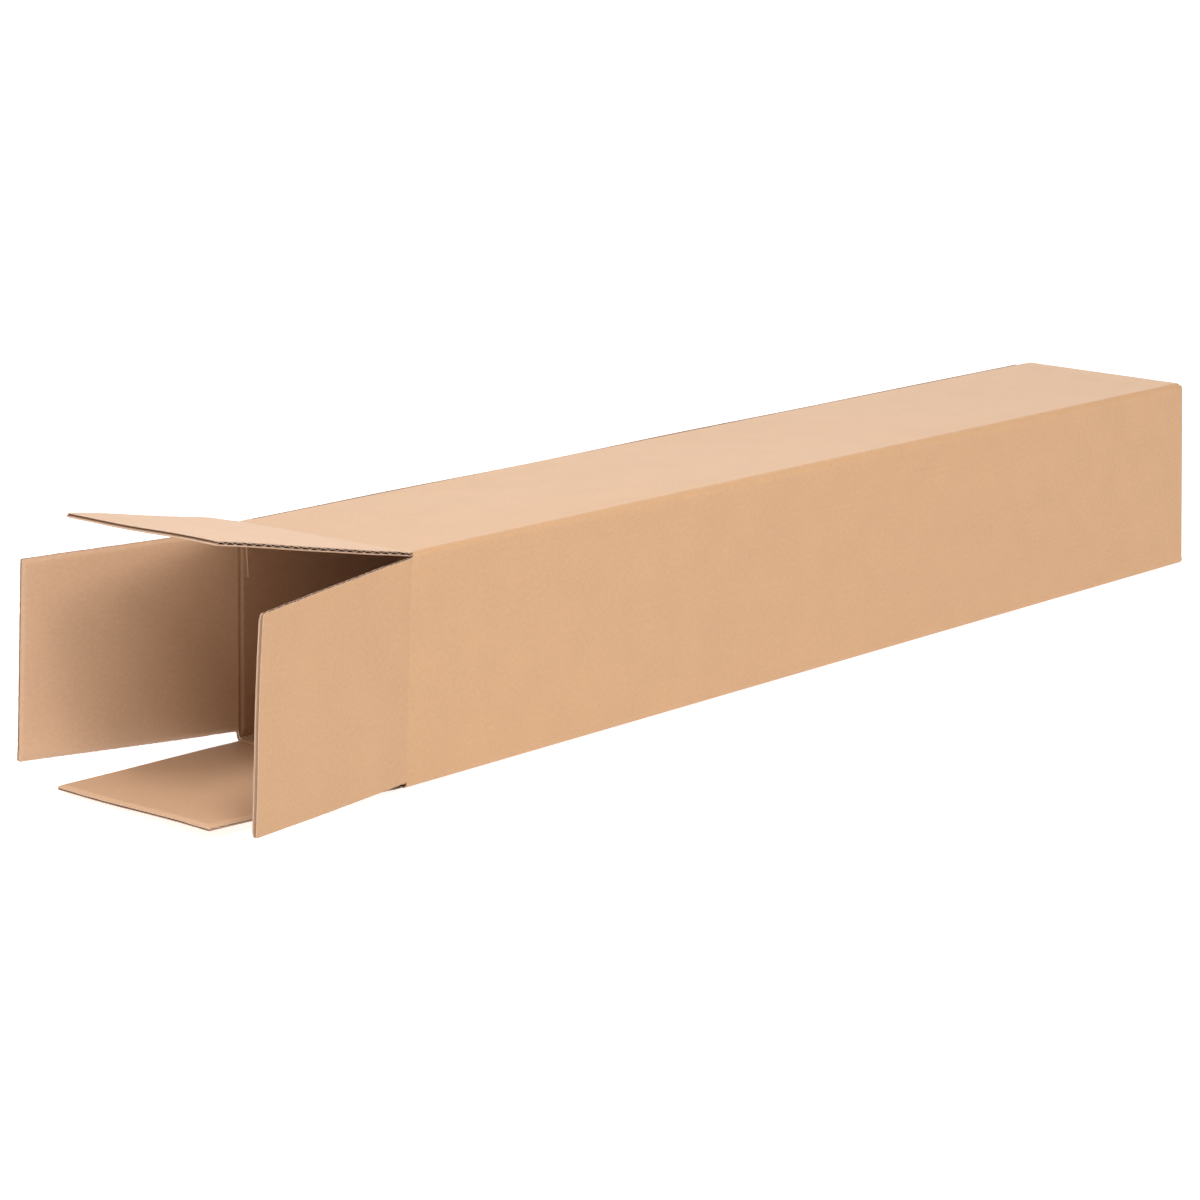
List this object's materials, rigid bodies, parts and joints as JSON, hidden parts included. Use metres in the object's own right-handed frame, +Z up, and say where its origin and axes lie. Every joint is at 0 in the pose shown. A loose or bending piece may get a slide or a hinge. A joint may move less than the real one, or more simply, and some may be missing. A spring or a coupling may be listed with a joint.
{
  "type": "square cardboard mailing tube",
  "caption": "Long square-section mailing carton of brown corrugated board, shut at the far end, with its flaps swung out at the open end.",
  "frame": {"origin": "centre of the sleeve's bottom face, on the surface the carton lies on", "axes": "+X along the sleeve towards its closed end, +Y towards the wall with the glue lap, +Z up"},
  "size_m": [0.9032, 0.1943, 0.1556],
  "materials": {
    "kraft_board": "matte"
  },
  "bodies": {
    "root": {"tube_sleeve": "kraft_board"},
    "top_flap": {"flap_top": "kraft_board"},
    "bottom_flap": {"flap_bottom": "kraft_board"},
    "back_flap": {"flap_back": "kraft_board"},
    "front_flap": {"flap_front": "kraft_board"}
  },
  "joints": [
    {"name": "top_flap_crease", "type": "hinge", "parent": "root", "child": "top_flap", "pos_m": [-0.3834, 0, 0.131], "axis": [0, -1, 0], "range_deg": [-163.9, 101.1]},
    {"name": "bottom_flap_crease", "type": "hinge", "parent": "root", "child": "bottom_flap", "pos_m": [-0.3898, 0, 0], "axis": [0, 1, 0], "range_deg": [-1, 89]},
    {"name": "back_flap_crease", "type": "hinge", "parent": "root", "child": "back_flap", "pos_m": [-0.3866, 0.068, 0.0655], "axis": [0, 0, 1], "range_deg": [-159.4, 105.6]},
    {"name": "front_flap_crease", "type": "hinge", "parent": "root", "child": "front_flap", "pos_m": [-0.3802, -0.068, 0.0655], "axis": [0, 0, -1], "range_deg": [-164.6, 100.4]}
  ]
}
